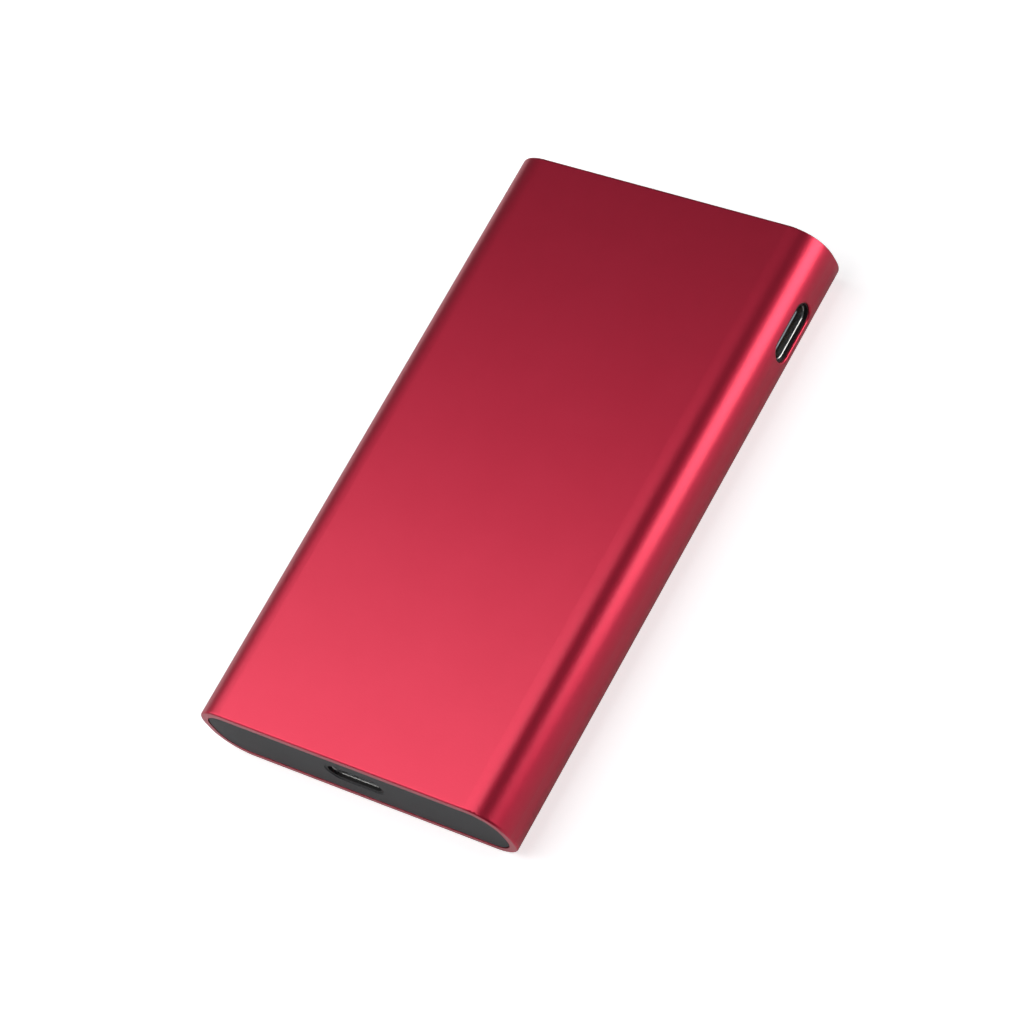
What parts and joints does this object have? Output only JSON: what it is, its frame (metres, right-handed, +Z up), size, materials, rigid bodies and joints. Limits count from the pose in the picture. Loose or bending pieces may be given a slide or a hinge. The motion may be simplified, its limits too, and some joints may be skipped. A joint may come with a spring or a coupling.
{
  "type": "digital audio player",
  "caption": "Slim pocket audio player: red satin aluminium sleeve with dark end plates, USB sockets in one end and one long side, side keys, headphone jack, card slot and flush display glass.",
  "frame": {"origin": "centre of the bounding box's base, on the surface the player lies on (its cover glass)", "axes": "+Z up through the plain back face, +Y along the length from the socket end to the headphone end, +X across the width towards the side with the USB opening"},
  "size_m": [0.0522, 0.093, 0.0122],
  "materials": {
    "red_anodised": "bead-blasted satin anodised, red",
    "charcoal_plastic": "fine matte",
    "glass_black": "polished, black back print",
    "display": "dark gloss",
    "sheet_steel": "thin rolled sheet",
    "bright_metal": "polished",
    "screw_steel": "dark plated",
    "chassis_metal": "plain machined",
    "board_black": "solder mask, dark green",
    "flex_amber": "thin film",
    "chip_black": "moulded",
    "can_metal": "drawn can",
    "contact_gold": "gold plated",
    "battery_foil": "soft foil pouch",
    "adhesive_black": "soft foam and tape",
    "black_plastic": "moulded",
    "pale_plastic": "moulded, pale grey",
    "lead_red": "insulated wire"
  },
  "bodies": {
    "player": {"sleeve": "red_anodised", "bottom_end_plate": "charcoal_plastic", "top_end_plate": "charcoal_plastic", "top_plate_screws": "screw_steel", "bottom_plate_gasket": "adhesive_black", "top_plate_gasket": "adhesive_black", "cover_glass": "glass_black", "display_adhesive": "adhesive_black", "display_panel": "display", "display_back_shield": "sheet_steel", "display_flex": "flex_amber", "chassis": "chassis_metal", "main_board": "board_black", "board_screws": "screw_steel", "usb_board": "board_black", "usb_board_screws": "screw_steel", "usb_flex": "flex_amber", "processor_chip": "chip_black", "memory_chip": "chip_black", "converter_chip": "chip_black", "amplifier_chips": "chip_black", "clock_crystals": "can_metal", "audio_capacitors": "can_metal", "antenna_chip": "chip_black", "shield_can": "sheet_steel", "battery_cell": "battery_foil", "battery_pad": "adhesive_black", "battery_protection_board": "board_black", "battery_leads": "lead_red", "battery_connector": "black_plastic", "side_usb_shell": "sheet_steel", "side_usb_tongue": "pale_plastic", "side_usb_contacts": "contact_gold", "bottom_usb_shell": "sheet_steel", "bottom_usb_tongue": "pale_plastic", "side_usb_collar": "black_plastic", "bottom_usb_collar": "black_plastic", "bottom_usb_contacts": "contact_gold", "headphone_jack": "black_plastic", "headphone_contacts": "contact_gold", "headphone_ring": "bright_metal", "card_slot_shell": "sheet_steel", "card_slot_base": "black_plastic", "key_board": "board_black", "key_switches": "black_plastic"},
    "power_key": {"power_key": "red_anodised"},
    "volume_up_key": {"volume_up_key": "red_anodised"},
    "volume_down_key": {"volume_down_key": "red_anodised"},
    "previous_key": {"previous_key": "red_anodised"},
    "play_key": {"play_key": "red_anodised"},
    "next_key": {"next_key": "red_anodised"}
  },
  "joints": [
    {"name": "power_press", "type": "slide", "parent": "player", "child": "power_key", "axis": [1, 0, 0], "range_m": [0, 0.0002], "stiffness_N_per_m": 4000, "springref_m": -0.0002},
    {"name": "volume_up_press", "type": "slide", "parent": "player", "child": "volume_up_key", "axis": [1, 0, 0], "range_m": [0, 0.0002], "stiffness_N_per_m": 4000, "springref_m": -0.0002},
    {"name": "volume_down_press", "type": "slide", "parent": "player", "child": "volume_down_key", "axis": [1, 0, 0], "range_m": [0, 0.0002], "stiffness_N_per_m": 4000, "springref_m": -0.0002},
    {"name": "previous_press", "type": "slide", "parent": "player", "child": "previous_key", "axis": [1, 0, 0], "range_m": [0, 0.0002], "stiffness_N_per_m": 4000, "springref_m": -0.0002},
    {"name": "play_press", "type": "slide", "parent": "player", "child": "play_key", "axis": [1, 0, 0], "range_m": [0, 0.0002], "stiffness_N_per_m": 4000, "springref_m": -0.0002},
    {"name": "next_press", "type": "slide", "parent": "player", "child": "next_key", "axis": [1, 0, 0], "range_m": [0, 0.0002], "stiffness_N_per_m": 4000, "springref_m": -0.0002}
  ]
}
